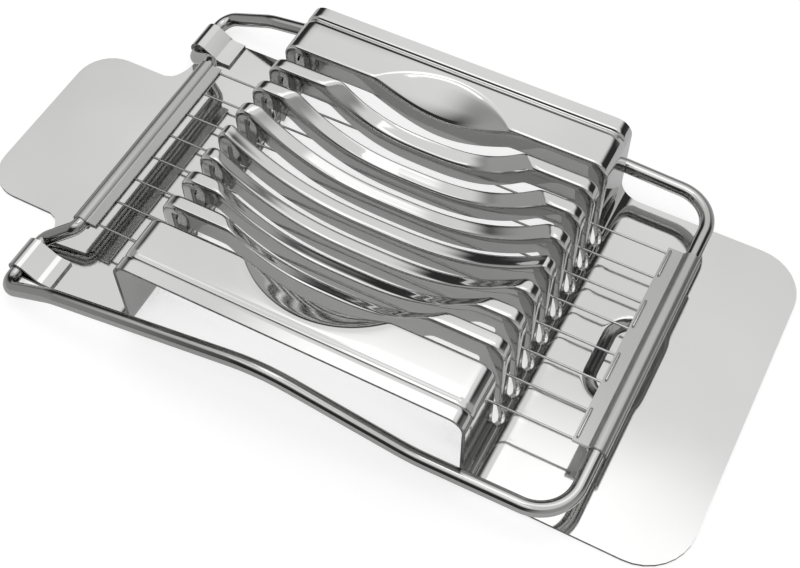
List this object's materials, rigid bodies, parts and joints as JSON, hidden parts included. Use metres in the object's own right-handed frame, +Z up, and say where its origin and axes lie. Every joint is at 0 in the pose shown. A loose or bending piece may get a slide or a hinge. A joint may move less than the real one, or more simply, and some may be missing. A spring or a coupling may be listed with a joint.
{
  "type": "egg slicer",
  "caption": "Stainless steel egg slicer: a pressed sheet base with a slotted egg dish, and a hinged bent-rod frame that carries fine cutting wires.",
  "frame": {"origin": "bottom centre of the closed slicer's bounding box, on the surface that it stands on", "axes": "+X from the hinge towards the free front edge, +Y along the hinge axis, +Z up"},
  "size_m": [0.1612, 0.0856, 0.023],
  "materials": {
    "polished_sheet": "mirror-polished stainless sheet",
    "polished_rod": "polished stainless rod",
    "holder_strip": "bright rolled stainless strip",
    "cutting_wire": "drawn stainless wire"
  },
  "bodies": {
    "base": {"base": "polished_sheet"},
    "cutting_frame": {"frame_rod": "polished_rod", "front_wire_holder": "holder_strip", "rear_wire_holder": "holder_strip", "wire_pair_1": "cutting_wire", "wire_pair_2": "cutting_wire", "wire_pair_3": "cutting_wire", "wire_pair_4": "cutting_wire"}
  },
  "joints": [
    {"name": "frame_hinge", "type": "hinge", "parent": "base", "child": "cutting_frame", "pos_m": [-0.059, 0, 0.00225], "axis": [0, -1, 0], "range_deg": [0, 120]}
  ]
}
